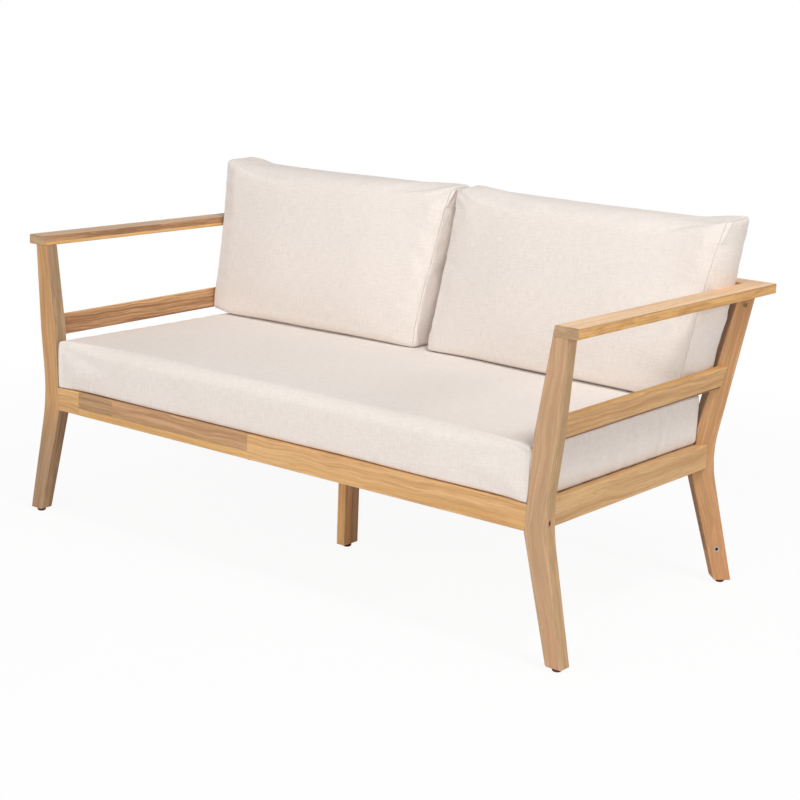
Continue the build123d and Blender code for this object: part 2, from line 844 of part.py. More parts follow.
head_bolt_head_seat = head_bolt_sink + head_bolt_head_height
head_bolt = socket_bolt(back_leg_thickness + head_block_depth - head_bolt_head_seat)
with BuildPart() as head_bolts:
    with Locations(head_bolt_place * Pos(0, 0, -head_bolt_sink)):
        add(head_bolt)
    mirror(about=Plane.YZ)
save(head_bolts, "head_bolts")

with BuildPart() as foot_inserts:
    with Locations(foot_insert_place):
        Cylinder(
            foot_insert_radius,
            foot_insert_length,
            align=(Align.CENTER, Align.CENTER, Align.MAX),
        )
        Hole(radius=foot_insert_bore_radius, depth=foot_insert_length)
    mirror(about=Plane.YZ)
save(foot_inserts, "foot_inserts")

# Glides under the five feet
front_foot_x = front_knee_x + front_leg_shape.foot_splay + front_leg_shape.foot_width / 2
front_foot_y = front_y + front_leg_thickness / 2
back_foot_across = back_leg_shape.foot_splay + back_leg_shape.foot_width / 2
back_foot = leg_face_right.from_local_coords((back_foot_across, 0, -back_leg_thickness / 2))
centre_foot_x = (centre_leg_left_x + beam_left_x) / 2
glide_spots = {
    "front_right": (front_foot_x, front_foot_y),
    "front_left": (-front_foot_x, front_foot_y),
    "back_right": (back_foot.X, back_foot.Y),
    "back_left": (-back_foot.X, back_foot.Y),
    "centre": (centre_foot_x, centre_leg_middle_y),
}
for foot, (glide_x, glide_y) in glide_spots.items():
    with BuildPart() as glide:
        with Locations((glide_x, glide_y, 0)):
            Cylinder(
                glide_radius,
                glide_height,
                align=(Align.CENTER, Align.CENTER, Align.MIN),
            )
        chamfer(glide.edges().group_by(Axis.Z)[0], length=glide_edge)
    save(glide, f"glide_{foot}")

# Seat cushion: sides that swell between the seams, and a crowned top
with BuildPart() as seat_cushion:
    for height_share, inset_share in seat_side_shares:
        level = seat_cushion_bottom + seat_cushion_edge_height * height_share
        with BuildSketch(Plane.XY.offset(level)):
            add(seat_outline(seat_cushion_side_swell * inset_share))
    loft()
    for reach_share, rise_share in seat_crown_shares:
        level = seat_cushion_edge + seat_cushion_crown * rise_share
        with BuildSketch(Plane.XY.offset(level)):
            add(seat_outline(seat_cushion_side_swell + seat_cushion_crown_reach * reach_share))
    loft()
save(seat_cushion, "seat_cushion")

# Back cushions
with BuildPart() as back_cushion_right:
    add(back_cushion(1, right_cushion_foot_x, right_cushion_head_x))
save(back_cushion_right, "back_cushion_right")

with BuildPart() as back_cushion_left:
    add(back_cushion(-1, left_cushion_foot_x, left_cushion_head_x))
save(back_cushion_left, "back_cushion_left")
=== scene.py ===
import math

import bmesh
import bpy
from mathutils import Matrix, Vector, noise


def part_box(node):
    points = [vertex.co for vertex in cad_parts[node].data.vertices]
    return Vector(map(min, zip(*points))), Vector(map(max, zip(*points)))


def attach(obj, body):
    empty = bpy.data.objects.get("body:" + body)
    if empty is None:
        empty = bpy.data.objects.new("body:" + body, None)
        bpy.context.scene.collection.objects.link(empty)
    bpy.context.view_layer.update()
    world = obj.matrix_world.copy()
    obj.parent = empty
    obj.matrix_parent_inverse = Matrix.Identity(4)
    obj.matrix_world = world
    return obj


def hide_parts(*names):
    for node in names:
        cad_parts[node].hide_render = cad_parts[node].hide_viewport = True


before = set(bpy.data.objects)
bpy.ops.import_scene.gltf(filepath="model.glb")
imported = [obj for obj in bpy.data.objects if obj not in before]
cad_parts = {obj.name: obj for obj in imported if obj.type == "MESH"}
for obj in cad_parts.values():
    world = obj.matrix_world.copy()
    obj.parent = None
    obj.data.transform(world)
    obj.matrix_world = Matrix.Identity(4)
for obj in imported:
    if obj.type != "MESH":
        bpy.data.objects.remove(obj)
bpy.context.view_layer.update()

# Patio loveseat in oiled hardwood with linen cushions. Metres, +Z up, the seat faces -Y.

MM = 0.001

# Camera, at the photograph's place and angle
CAMERA_PLACE = (2.3380, -2.9456, 1.2089)
CAMERA_YAW = 37.90
CAMERA_PITCH = 13.18
CAMERA_ROLL = 2.20
CAMERA_LENS = 79.74
CAMERA_SENSOR = 36.0

# Light: an even white studio, with a soft lamp high on the right, a broad one in front and a
# small one beside the right end
WHITE = (1.0, 1.0, 1.0, 1.0)
ROOM_LIGHT = 0.3
TOP_PLACE = (2.6, -1.1, 6.0)
TOP_SIZE = 1.3
TOP_POWER = 150.0
FRONT_PLACE = (1.2, -6.6, 2.9)
FRONT_SIZE = 3.2
FRONT_POWER = 188.0
SIDE_PLACE = (5.4, -0.4, 2.8)
SIDE_SIZE = 0.8
SIDE_POWER = 56.0
LAMP_AIM = (0.0, 0.0, 0.4)

# Floor. The camera sees part of it as plain white: this share near the object, and all far away
FLOOR_SIZE = 400.0
FLOOR_COLOUR = (0.92, 0.92, 0.92, 1.0)
FLOOR_GLOW = 0.93
FLOOR_GLOW_SPAN = (1.1, 2.4)

# Colours as they look, 0 to 255; the timbers are pairs, from the dark streaks to the light ones
LEG_RIGHT = ((184, 147, 113), (208, 169, 130))
LEG_RIGHT_SIDE = ((176, 142, 103), (206, 169, 126))
LEG_LEFT = ((188, 140, 92), (218, 171, 119))
LEG_LEFT_FOOT = ((154, 122, 92), (192, 156, 120))
LEG_LEFT_SIDE = ((150, 122, 92), (184, 152, 118))
BACK_LEG = ((186, 138, 94), (212, 165, 117))
BACK_LEG_FOOT = ((194, 142, 98), (214, 162, 116))
# The back legs' narrow faces: a darker timber with painted shade added, for the face turned from the
# lamps
BACK_LEG_SIDE_SHADED = ((148, 108, 77), (188, 144, 105))
ARM_TOP = ((221, 177, 133), (245, 209, 169))
ARM_SIDE = ((196, 142, 84), (236, 186, 116))
ARM_LEFT_TOP = ((182, 146, 112), (218, 182, 146))
ARM_LEFT_SIDE = ((146, 106, 74), (196, 152, 110))
GOLDEN = ((212, 160, 96), (236, 188, 122))
RAIL = ((204, 155, 101), (236, 190, 133))
RAIL_BROWN = ((164, 127, 92), (200, 160, 118))
RAIL_MIDDLE = ((180, 137, 97), (214, 171, 127))
# Painted shade along the lower outer edge of the right middle rail
RAIL_EDGE_SHADE = ((104, 76, 54), (146, 108, 76))
RAIL_STRIP = ((214, 164, 100), (232, 186, 124))
SIDE_RAIL = ((196, 151, 101), (222, 182, 130))
MID_RAIL = ((194, 147, 97), (228, 184, 128))
MID_RAIL_LEFT = ((150, 106, 72), (216, 170, 122))
CENTRE_LEG = ((196, 148, 102), (232, 182, 132))
CENTRE_LEG_DARK = ((156, 118, 86), (202, 160, 123))
# The centre leg's front and back faces: its golden timber made lighter, painted light for the shade under
# the seat
CENTRE_LEG_FRONT_LIT = ((230, 176, 116), (250, 200, 138))
PLAIN = ((178, 138, 96), (214, 172, 122))
RUSSET = (206, 142, 106)
PORE = (146, 106, 72)
END_DARK = (162, 130, 96)
END_LIGHT = (202, 170, 132)
KNOT = (84, 26, 18)
LINEN_LIGHT = (244, 235, 228)
LINEN_SHADE = (230, 219, 210)
THREAD = (246, 240, 232)
# Painted shade for the dark line along the foot of a cushion
PAINTED_FOOT_SHADE = (96, 84, 76)
GLIDE_BROWN = (120, 40, 26)
BRASS_TONE = (172, 142, 92)
ZINC_TONE = (214, 210, 208)


def linear(colour):
    """A colour as it looks, as the scene-linear values that the shaders take."""
    shares = [channel / 255 for channel in colour]
    bent = [c / 12.92 if c <= 0.04045 else ((c + 0.055) / 1.055) ** 2.4 for c in shares]
    return (*bent, 1.0)


class Amount:
    """A number that varies over a surface. Arithmetic on it adds Math nodes."""

    def __init__(self, web, socket):
        self.web = web
        self.socket = socket

    def math(self, operation, *others):
        inputs = dict(enumerate((self, *others)))
        return self.web.put("ShaderNodeMath", {"operation": operation}, inputs)

    def __add__(self, other):
        return self.math("ADD", other)

    __radd__ = __add__

    def __mul__(self, other):
        return self.math("MULTIPLY", other)

    __rmul__ = __mul__

    def __sub__(self, other):
        return self.math("SUBTRACT", other)

    def __rsub__(self, other):
        return self.math("MULTIPLY", -1.0) + other

    def __truediv__(self, other):
        return self.math("DIVIDE", other)

    def __abs__(self):
        return self.math("ABSOLUTE")

    def floor(self):
        return self.math("FLOOR")

    def fraction(self):
        return self.math("FRACT")

    def lesser(self, other):
        return self.math("MINIMUM", other)

    def greater(self, other):
        return self.math("MAXIMUM", other)

    def rise(self, low, high):
        """0 below low, 1 above high, and smooth between them."""
        settings = {"interpolation_type": "SMOOTHSTEP"}
        return self.web.put("ShaderNodeMapRange", settings, {0: self, 1: low, 2: high})

    def within(self, low, high, edge):
        """1 from low to high and 0 outside, with soft limits as wide as the edge to each side."""
        return self.rise(low - edge, low + edge) * (1.0 - self.rise(high - edge, high + edge))


class Web:
    """The nodes of one material or world."""

    def __init__(self, tree):
        self.nodes = tree.nodes
        self.links = tree.links

    def feed(self, socket, value):
        """Link an amount to a socket, or fill it with a plain value."""
        if isinstance(value, Amount):
            self.links.new(value.socket, socket)
        else:
            socket.default_value = value

    def put(self, kind, settings=None, inputs=None, output=0):
        """Add a node, set it up, link or fill its inputs, and give one of its outputs."""
        node = self.nodes.new(kind)
        for setting, value in (settings or {}).items():
            setattr(node, setting, value)
        for key, value in (inputs or {}).items():
            self.feed(node.inputs[key], value)
        return Amount(self, node.outputs[output])

    def seen_by(self, ray):
        """1 for one kind of ray, such as the camera's, and 0 for the others."""
        return self.put("ShaderNodeLightPath", output=f"Is {ray} Ray")


class Finish(Web):
    """One material: its surface shader and the nodes that feed it."""

    def __init__(self, name, **surface):
        self.material = bpy.data.materials.new(name)
        self.material.use_nodes = True
        super().__init__(self.material.node_tree)
        self.surface = self.nodes["Principled BSDF"]
        for socket_name, value in surface.items():
            self.set(socket_name.replace("_", " ").title().replace("Ior", "IOR"), value)

    def set(self, socket_name, value):
        self.feed(self.surface.inputs[socket_name], value)

    def place(self, output="Object"):
        return self.put("ShaderNodeTexCoord", output=output)

    def attribute(self, name):
        """A number that each vertex of the piece carries."""
        return self.put("ShaderNodeAttribute", {"attribute_name": name}, output=2)

    def vector(self, operation, *vectors, output=0):
        """Vector maths. Output 1 is the one for results that are a number."""
        inputs = dict(enumerate(vectors))
        return self.put("ShaderNodeVectorMath", {"operation": operation}, inputs, output)

    def along(self, vector, direction):
        """How far a point lies along a direction."""
        return self.vector("DOT_PRODUCT", vector, direction, output=1)

    def point(self, x, y, z):
        return self.put("ShaderNodeCombineXYZ", inputs={0: x, 1: y, 2: z})

    def cloud(self, point, scale=1.0, detail=2.0):
        """Soft noise, 0 to 1."""
        inputs = {"Vector": point, "Scale": scale, "Detail": detail}
        return self.put("ShaderNodeTexNoise", inputs=inputs)

    def lot(self, point):
        """A random number for each whole-numbered place."""
        return self.put("ShaderNodeTexWhiteNoise", inputs={"Vector": point})

    def blend(self, first, second, share):
        """From the first colour to the second as share goes from 0 to 1."""
        settings = {"data_type": "RGBA"}
        return self.put("ShaderNodeMix", settings, {0: share, 6: first, 7: second}, output=2)

    def relief(self, height, depth, strength):
        """Small relief on the surface, with its full depth in metres."""
        inputs = {"Strength": strength, "Distance": depth, "Height": height}
        self.set("Normal", self.put("ShaderNodeBump", inputs=inputs))


# Wood: how often each figure repeats in a metre, along the grain and across it
WANDER_RATE = (7.0, 9.0)
BROAD_RATE = (1.6, 70.0)
NARROW_RATE = (5.0, 230.0)
STREAK_RATE = (20.0, 520.0)
PORE_RATE = (50.0, 1000.0)
WARM_RATE = (2.0, 90.0)
SPECKLE_RATE = (30.0, 330.0)
RING_RATE = 26.0
# The rings' shape: how much slower they run along the grain, their slope through the board, and
# how far the broad streaks push them
RING_RUN = 0.5
RING_SLOPE = 0.6
RING_PUSH = 0.03
RING_DISTORTION = 3.0
# How far the streaks wander sideways
GRAIN_WANDER = 26 * MM
# What each figure adds to the tone, and the tones at which a pair's dark and light colours are pure
BROAD_WEIGHT = 1.7
NARROW_WEIGHT = 1.7
STREAK_WEIGHT = 1.1
RING_WEIGHT = 0.18
BLOCK_WEIGHT = 0.9
TONE_SPAN = (-0.1, 1.1)
# Where the noise turns into pores or a reddish tone, and how strong these are
PORE_SPAN = (0.62, 0.74)
PORE_STRENGTH = 0.4
WARM_SPAN = (0.55, 0.75)
WARM_STRENGTH = 0.22
# How far a face has to turn to count as an edge, or as a sawn end
EDGE_TURN = (0.5, 0.85)
END_TURN = (0.75, 0.9)
END_STRENGTH = 0.9
# A sawn end: rates across the board and through it, and the tones at which its colours are pure
GROWTH_RATE = (26.0, 60.0)
END_SPECKLE_WEIGHT = 0.3
END_GROWTH_WEIGHT = 0.7
END_SPAN = (0.3, 0.68)
# A knot: its proportions, how ragged it is, and how its dark heart and red rim fade, in radii
KNOT_STRETCH = (1.0, 1.0, 0.6)
KNOT_RAG = 1.1
KNOT_HEART = (0.35, 0.9)
KNOT_RIM = (0.9, 2.0)
KNOT_RIM_STRENGTH = 0.45
# Each board's seed shifts its figures, and so do its blocks and the pieces glued in
SEED_SHIFT = 1.7
BLOCK_SHIFT = 3.7
PATCH_SHIFT = 1.3
GLUE_LINE = 0.3 * MM
SLANT = 0.4
WOOD_ROUGHNESS = 0.46
STREAK_ROUGHNESS = 0.16
PORE_ROUGHNESS = 0.12
STREAK_HEIGHT = 0.6
PORE_DEPTH = 0.8
WOOD_RELIEF = 0.2 * MM
WOOD_RELIEF_STRENGTH = 0.4


def end_grain(finish, side, through, speckle, seed):
    """Colour of a sawn end: rings of growth, with specks between them."""
    across_rate, through_rate = GROWTH_RATE
    growth = finish.cloud(finish.point(0.0, side * across_rate, through * through_rate + seed))
    share = (speckle * END_SPECKLE_WEIGHT + growth * END_GROWTH_WEIGHT).rise(*END_SPAN)
    return finish.blend(linear(END_DARK), linear(END_LIGHT), share)


def knotted(finish, colour, centre, radius, speckle):
    """The colour with a dark knot in it, whose ragged rim is reddish."""
    shift = finish.vector("SUBTRACT", finish.place(), centre)
    away = finish.vector("LENGTH", finish.vector("MULTIPLY", shift, KNOT_STRETCH), output=1)
    ragged = away / radius + (speckle - 0.5) * KNOT_RAG
    colour = finish.blend(colour, linear(RUSSET), (1.0 - ragged.rise(*KNOT_RIM)) * KNOT_RIM_STRENGTH)
    return finish.blend(colour, linear(KNOT), 1.0 - ragged.rise(*KNOT_HEART))


def hardwood(name, grain, across, seed, face, edge=None, stave=None, patches=(), bend=None, knot=None):
    """Oiled hardwood whose grain runs along one direction.

    Face and edge are the colours on the broad faces and on those that look across: the timber's
    own, with painted light or shade in the edge colours of some boards. A stave is the length of
    finger-jointed blocks. Each patch is a piece glued in or a band of painted light or shade: its
    limits in millimetres along the grain, across the board, through it or on a slant, and its
    colours. A third item, a width in millimetres, makes it a change of tone that fades instead. A
    bend gives a knee's height, the place of the leg's middle line there and its slopes below and
    above, which the grain follows.
    A knot is a place and a radius.
    """
    finish = Finish(name, specular_ior_level=0.34)
    grain = Vector(grain).normalized()
    across = Vector(across).normalized()
    spot = finish.place()
    run = finish.along(spot, grain)
    side = finish.along(spot, across)
    through = finish.along(spot, grain.cross(across))
    if bend:
        knee, middle, slope_below, slope_above = bend
        above = run - knee
        side = side - middle - above.lesser(0.0) * slope_below - above.greater(0.0) * slope_above

    # Blocks, and patches without a fade (pieces glued in and bands of painted light or shade), have a
    # figure of their own
    cut = seed * SEED_SHIFT
    shade = 0.0
    if stave:
        block = finish.lot(finish.point((run / stave + seed).floor(), seed, 0.5))
        cut = block * BLOCK_SHIFT
        shade = (block - 0.5) * BLOCK_WEIGHT
    ways = {"run": run, "side": side, "through": through, "slant": side - run * SLANT}
    masks = []
    for limits, colours, *fade in patches:
        blur = fade[0] * MM if fade else GLUE_LINE
        mask = 1.0
        for way, (low, high) in limits.items():
            mask = ways[way].within(low * MM, high * MM, blur) * mask
        masks.append((mask, colours))
        if not fade:
            cut = cut + mask * PATCH_SHIFT

    def drawn_out(sideways, rates):
        """The three coordinates of a figure that is drawn out along the grain."""
        along_rate, across_rate = rates
        return run * along_rate, sideways * across_rate, through * across_rate

    x, y, z = drawn_out(side, WANDER_RATE)
    wander = finish.cloud(finish.point(x + cut, y, z + seed), detail=1.0)
    drift = side + (wander - 0.5) * GRAIN_WANDER
    x, y, z = drawn_out(drift, BROAD_RATE)
    broad = finish.cloud(finish.point(x + cut, y + seed, z))
    x, y, z = drawn_out(drift, NARROW_RATE)
    narrow = finish.cloud(finish.point(x + cut, y, z + seed))
    x, y, z = drawn_out(side, WARM_RATE)
    warm = finish.cloud(finish.point(x + cut, y, z + seed), detail=1.0)
    streaks = finish.cloud(finish.point(*drawn_out(drift, STREAK_RATE)), detail=3.0)
    pores = finish.cloud(finish.point(*drawn_out(drift, PORE_RATE)), detail=1.0)
    speckle = finish.cloud(finish.point(*drawn_out(side, SPECKLE_RATE)), detail=3.0)
    bands = drift + through * RING_SLOPE + broad * RING_PUSH
    rings = finish.put(
        "ShaderNodeTexWave",
        {"wave_type": "BANDS", "bands_direction": "Y", "wave_profile": "SIN"},
        {
            "Vector": finish.point(run * RING_RUN + cut, bands, 0.0),
            "Scale": RING_RATE,
            "Distortion": RING_DISTORTION,
        },
        output=1,
    )
    light = (
        (broad - 0.5) * BROAD_WEIGHT
        + (narrow - 0.5) * NARROW_WEIGHT
        + (streaks - 0.5) * STREAK_WEIGHT
        + (rings - 0.5) * RING_WEIGHT
        + (0.5 + shade)
    )
    share = light.rise(*TONE_SPAN)
    pore = pores.rise(*PORE_SPAN)
    normal = finish.place("Normal")

    def timber(colours):
        return finish.blend(linear(colours[0]), linear(colours[1]), share)

    colour = timber(face)
    if edge:
        colour = finish.blend(colour, timber(edge), abs(finish.along(normal, across)).rise(*EDGE_TURN))
    for mask, colours in masks:
        colour = finish.blend(colour, timber(colours), mask)
    colour = finish.blend(colour, linear(RUSSET), warm.rise(*WARM_SPAN) * WARM_STRENGTH)
    colour = finish.blend(colour, linear(PORE), pore * PORE_STRENGTH)
    sawn = abs(finish.along(normal, grain)).rise(*END_TURN) * END_STRENGTH
    colour = finish.blend(colour, end_grain(finish, side, through, speckle, seed), sawn)
    if knot:
        colour = knotted(finish, colour, *knot, speckle)
    finish.set("Base Color", colour)
    finish.set("Roughness", WOOD_ROUGHNESS + streaks * STREAK_ROUGHNESS + pore * PORE_ROUGHNESS)
    finish.relief(streaks * STREAK_HEIGHT - pore * PORE_DEPTH, WOOD_RELIEF, WOOD_RELIEF_STRENGTH)
    return finish.material


# Linen: how often its slubs and yarns repeat in a metre, along the thread and across it
WEFT_SLUB_RATE = 42.0
WARP_SLUB_RATE = 38.0
SLUB_FINENESS = 300.0
YARN_RATE = 190.0
YARN_FINENESS = 1500.0
CAST_RATE = 5.0
# What each adds to the cloth's tone, around its middle tone
SLUB_WEIGHT = 0.8
YARN_WEIGHT = 0.75
CAST_WEIGHT = 0.3
LINEN_TONE = 0.62

# Seams of the cushions: two rows of stitches beside each seam, on the wrapped panel's side
SEAM_ROW_OFFSET = 4.5 * MM
SEAM_ROW_GAP = 4.0 * MM
SEAM_ROW_SPAN = (0.35 * MM, 0.9 * MM)
STITCH_LENGTH = 3.4 * MM
STITCH_SPAN = (0.08, 0.2)
# The crease beside each seam, and how much painted shade darkens it and the rows of stitches
CREASE_SPAN = (0.3 * MM, 1.6 * MM)
CREASE_SHADE = 0.7
ROW_SHADE = 0.25
THREAD_STRENGTH = 0.5

# Painted shade: a dark line along the foot of a cushion, where it is pressed on what it lies on,
# from and to these shares of its own height. A cushion without one lies all above it
FOOT_SHADE_LOW = 0.2
FOOT_SHADE_HIGH = 1.2
FOOT_SHADE_BLUR = 0.15
FOOT_SHADE_STRENGTH = 0.8
NO_FOOT_SHADE = 9.0

# Relief of the cloth, as shares of its full depth
SLUB_HEIGHT = 0.35
YARN_HEIGHT = 0.3
CREASE_DEPTH = 2.2
ROW_DEPTH = 0.8
STITCH_HEIGHT = 0.7
LINEN_RELIEF = 0.6 * MM
LINEN_RELIEF_STRENGTH = 0.8


def linen(name):
    """Cream slub linen. It follows the panels' own weave map, in metres."""
    finish = Finish(
        name, roughness=0.92, specular_ior_level=0.18, sheen_weight=0.12, sheen_roughness=0.45
    )
    weave = finish.put("ShaderNodeUVMap", {"uv_map": "weave"})
    weft = finish.along(weave, (1, 0, 0))
    warp = finish.along(weave, (0, 1, 0))

    def threads(weft_rate, warp_rate, layer, detail=2.0):
        """Noise over the cloth. Each layer is a noise of its own."""
        return finish.cloud(finish.point(weft * weft_rate, warp * warp_rate, layer), detail=detail)

    weft_slub = threads(WEFT_SLUB_RATE, SLUB_FINENESS, layer=0.0)
    warp_slub = threads(SLUB_FINENESS, WARP_SLUB_RATE, layer=5.0)
    weft_yarn = threads(YARN_RATE, YARN_FINENESS, layer=2.0, detail=1.0)
    warp_yarn = threads(YARN_FINENESS, YARN_RATE, layer=7.0, detail=1.0)
    cast = threads(CAST_RATE, CAST_RATE, layer=3.0)
    slub = weft_slub + warp_slub - 1.0
    yarn = weft_yarn + warp_yarn - 1.0
    light = slub * SLUB_WEIGHT + yarn * YARN_WEIGHT + (cast - 0.5) * CAST_WEIGHT + LINEN_TONE
    colour = finish.blend(linear(LINEN_SHADE), linear(LINEN_LIGHT), light.rise(0.0, 1.0))

    seam = finish.attribute("seam")
    on_row = 1.0 - abs(abs(seam - SEAM_ROW_OFFSET) - SEAM_ROW_GAP / 2).rise(*SEAM_ROW_SPAN)
    stitch = on_row * abs((warp / STITCH_LENGTH).fraction() - 0.5).rise(*STITCH_SPAN)
    crease = 1.0 - abs(seam).rise(*CREASE_SPAN)
    # Painted shade: a thin dark line along the foot of the cover
    foot_shade = finish.attribute("foot_shade").within(FOOT_SHADE_LOW, FOOT_SHADE_HIGH, FOOT_SHADE_BLUR)
    # Painted shade in the seam's crease and along the rows of stitches
    colour = finish.blend(colour, linear(LINEN_SHADE), crease * CREASE_SHADE + on_row * ROW_SHADE)
    colour = finish.blend(colour, linear(THREAD), stitch * THREAD_STRENGTH)
    colour = finish.blend(colour, linear(PAINTED_FOOT_SHADE), foot_shade * FOOT_SHADE_STRENGTH)
    finish.set("Base Color", colour)
    height = slub * SLUB_HEIGHT + yarn * YARN_HEIGHT - crease * CREASE_DEPTH
    height = height - on_row * ROW_DEPTH + stitch * STITCH_HEIGHT
    finish.relief(height, LINEN_RELIEF, LINEN_RELIEF_STRENGTH)
    return finish.material


# Metal and plastic: how often their specks repeat in a metre, and the share of the colour in the
# dark ones
METAL_SPECKS = 900.0
METAL_DULL_SHARE = 0.7
METAL_ROUGHNESS_SPREAD = 0.2
PLASTIC_SPECKS = 1400.0
PLASTIC_DULL_SHARE = 0.75
PLASTIC_RELIEF = 0.1 * MM
PLASTIC_RELIEF_STRENGTH = 0.4


def mottled(finish, colour, rate, dull_share):
    """Fine specks that dull the colour. They are given back for the roughness or the relief."""
    specks = finish.cloud(finish.place(), scale=rate)
    dull = [channel * dull_share for channel in colour]
    finish.set("Base Color", finish.blend(linear(colour), linear(dull), specks))
    return specks


def metal(name, colour, roughness):
    """Plated metal, worn a little unevenly."""
    finish = Finish(name, metallic=1.0)
    worn = mottled(finish, colour, METAL_SPECKS, METAL_DULL_SHARE)
    lowest = roughness - METAL_ROUGHNESS_SPREAD / 2
    finish.set("Roughness", worn * METAL_ROUGHNESS_SPREAD + lowest)
    return finish.material


def moulded(name, colour):
    """Dark moulded plastic with a fine grain."""
    finish = Finish(name, roughness=0.45)
    specks = mottled(finish, colour, PLASTIC_SPECKS, PLASTIC_DULL_SHARE)
    finish.relief(specks, PLASTIC_RELIEF, PLASTIC_RELIEF_STRENGTH)
    return finish.material


def dress(node, material):
    """Give a CAD node its finish."""
    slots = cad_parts[node].data.materials
    slots.clear()
    slots.append(material)


def placed(name, data):
    """A new object in the scene, made of a mesh, a lamp or a camera."""
    thing = bpy.data.objects.new(name, data)
    bpy.context.scene.collection.objects.link(thing)
    return thing


def from_form(name, form):
    """A new object in the scene with the form's mesh."""
    mesh = bpy.data.meshes.new(name)
    form.to_mesh(mesh)
    form.free()
    return placed(name, mesh)


def smooth(share):
    """0 to 1 with level ends."""
    share = min(max(share, 0.0), 1.0)
    return share * share * (3.0 - 2.0 * share)


def bump(distance, reach):
    """1 at no distance, falling away smoothly over the reach."""
    return math.exp(-((distance / reach) ** 2))


# A cover starts as a unit box. A point this far from its middle is on one of its faces
ON_FACE = 0.4999
# How much closer the rows of squares lie near the seams, and the fewest cuts across a panel
SEAM_CROWDING = 0.5
FEWEST_CUTS = 3


def gather(place):
    """Bring evenly spaced rows closer together near both ends, where the seams are."""
    even = 1.0 - SEAM_CROWDING
    return Vector([p * even + SEAM_CROWDING * math.sin(p * math.pi) / 2 for p in place])


def sewn_box(size, cell):
    """A unit box cut into panels of small squares: x across, y front to back, z up."""
    form = bmesh.new()
    bmesh.ops.create_cube(form, size=1.0)
    for axis, length in enumerate(size):
        cuts = max(round(length / cell) - 1, FEWEST_CUTS)
        edges = [e for e in form.edges if abs((e.verts[0].co - e.verts[1].co)[axis]) > 0.5]
        bmesh.ops.subdivide_edges(form, edges=edges, cuts=cuts, use_grid_fill=True)
    for vertex in form.verts:
        vertex.co = gather(vertex.co)
    return form


def weave_map(form, size):
    """Lay each panel's weave in metres: the wrap runs over front, top, back and foot."""
    width, depth, height = size
    layer = form.loops.layers.uv.new("weave")
    for face in form.faces:
        middle = face.calc_center_median()
        for loop in face.loops:
            x, y, z = loop.vert.co
            if abs(middle.x) > ON_FACE:
                flat = (y * depth, z * height)
            elif middle.y < -ON_FACE:
                flat = (x * width, z * height)
            elif middle.z > ON_FACE:
                flat = (x * width, 0.5 * height + (y + 0.5) * depth)
            elif middle.y > ON_FACE:
                flat = (x * width, 1.5 * height + depth - z * height)
            else:
                flat = (x * width, -0.5 * height - (y + 0.5) * depth)
            loop[layer].uv = flat


def seam_gap(place, size):
    """Distance to the nearest gusset seam, less than zero on the gusset."""
    width, depth, height = size
    if abs(place.x) > ON_FACE:
        return -min((0.5 - abs(place.y)) * depth, (0.5 - abs(place.z)) * height)
    return (0.5 - abs(place.x)) * width


def rounded(point, half, radii):
    """Move a point of a box onto the same box with rounded edges, one radius for each axis."""
    core = Vector([max(min(p, h - r), r - h) for p, h, r in zip(point, half, radii)])
    offset = Vector([(p - c) / r for p, c, r in zip(point, core, radii)])
    if offset.length > 1.0:
        offset.normalize()
    return core + Vector([o * r for o, r in zip(offset, radii)])


# The covers' cloth, and how the filling swells it
CLOTH_STEPS = 20
CLOTH_QUALITY = 6
CLOTH_MASS = 0.35
CLOTH_TENSION = 26.0
CLOTH_COMPRESSION = 18.0
CLOTH_SHEAR = 8.0
CLOTH_BENDING = 0.25
CLOTH_DAMPING = 12.0
CLOTH_PRESSURE = 2.5
CLOTH_SLACK = 0.006
CLOTH_SWELL = 6 * MM
# How firmly the seams are held, and how near to a seam a point is on it
SEAM_PIN = 0.9
ON_SEAM = 1e-6


def puff(piece, pins, hold):
    """Let the cover swell and pucker between its seams, then keep the shape."""
    rest = [v.co.copy() for v in piece.data.vertices]
    group = piece.vertex_groups.new(name="seams")
    group.add(pins, SEAM_PIN, "REPLACE")
    cloth = piece.modifiers.new("cover", "CLOTH")
    settings = cloth.settings
    settings.quality = CLOTH_QUALITY
    settings.mass = CLOTH_MASS
    settings.tension_stiffness = CLOTH_TENSION
    settings.compression_stiffness = CLOTH_COMPRESSION
    settings.shear_stiffness = CLOTH_SHEAR
    settings.bending_stiffness = CLOTH_BENDING
    settings.tension_damping = CLOTH_DAMPING
    settings.compression_damping = CLOTH_DAMPING
    settings.use_pressure = True
    settings.uniform_pressure_force = CLOTH_PRESSURE
    settings.vertex_group_mass = "seams"
    settings.pin_stiffness = 1.0
    settings.shrink_min = -CLOTH_SLACK
    settings.effector_weights.gravity = 0.0
    cloth.collision_settings.use_collision = False
    scene = bpy.context.scene
    for step in range(1, CLOTH_STEPS + 1):
        scene.frame_set(step)
    swollen = piece.evaluated_get(bpy.context.evaluated_depsgraph_get())
    moved = [v.co.copy() for v in swollen.data.vertices]
    piece.modifiers.remove(cloth)
    scene.frame_set(1)
    for vertex, start, end in zip(piece.data.vertices, rest, moved):
        shift = end - start
        if shift.length > CLOTH_SWELL:
            shift = shift.normalized() * CLOTH_SWELL
        vertex.co = hold(start, shift)


def refine(piece):
    """One subdivision, applied."""
    piece.modifiers.new("smooth", "SUBSURF").levels = 1
    graph = bpy.context.evaluated_depsgraph_get()
    finer = bpy.data.meshes.new_from_object(
        piece.evaluated_get(graph), preserve_all_data_layers=True, depsgraph=graph
    )
    piece.modifiers.clear()
    piece.data = finer


# The tuck at each corner of a gusset: its length along the seam, how far it reaches from it at
# first, and the width and depth of the crease under it
TUCK_LENGTH = 46 * MM
TUCK_REACH = 20 * MM
TUCK_CREASE = 4 * MM
TUCK_CREASE_SHARE = 0.5


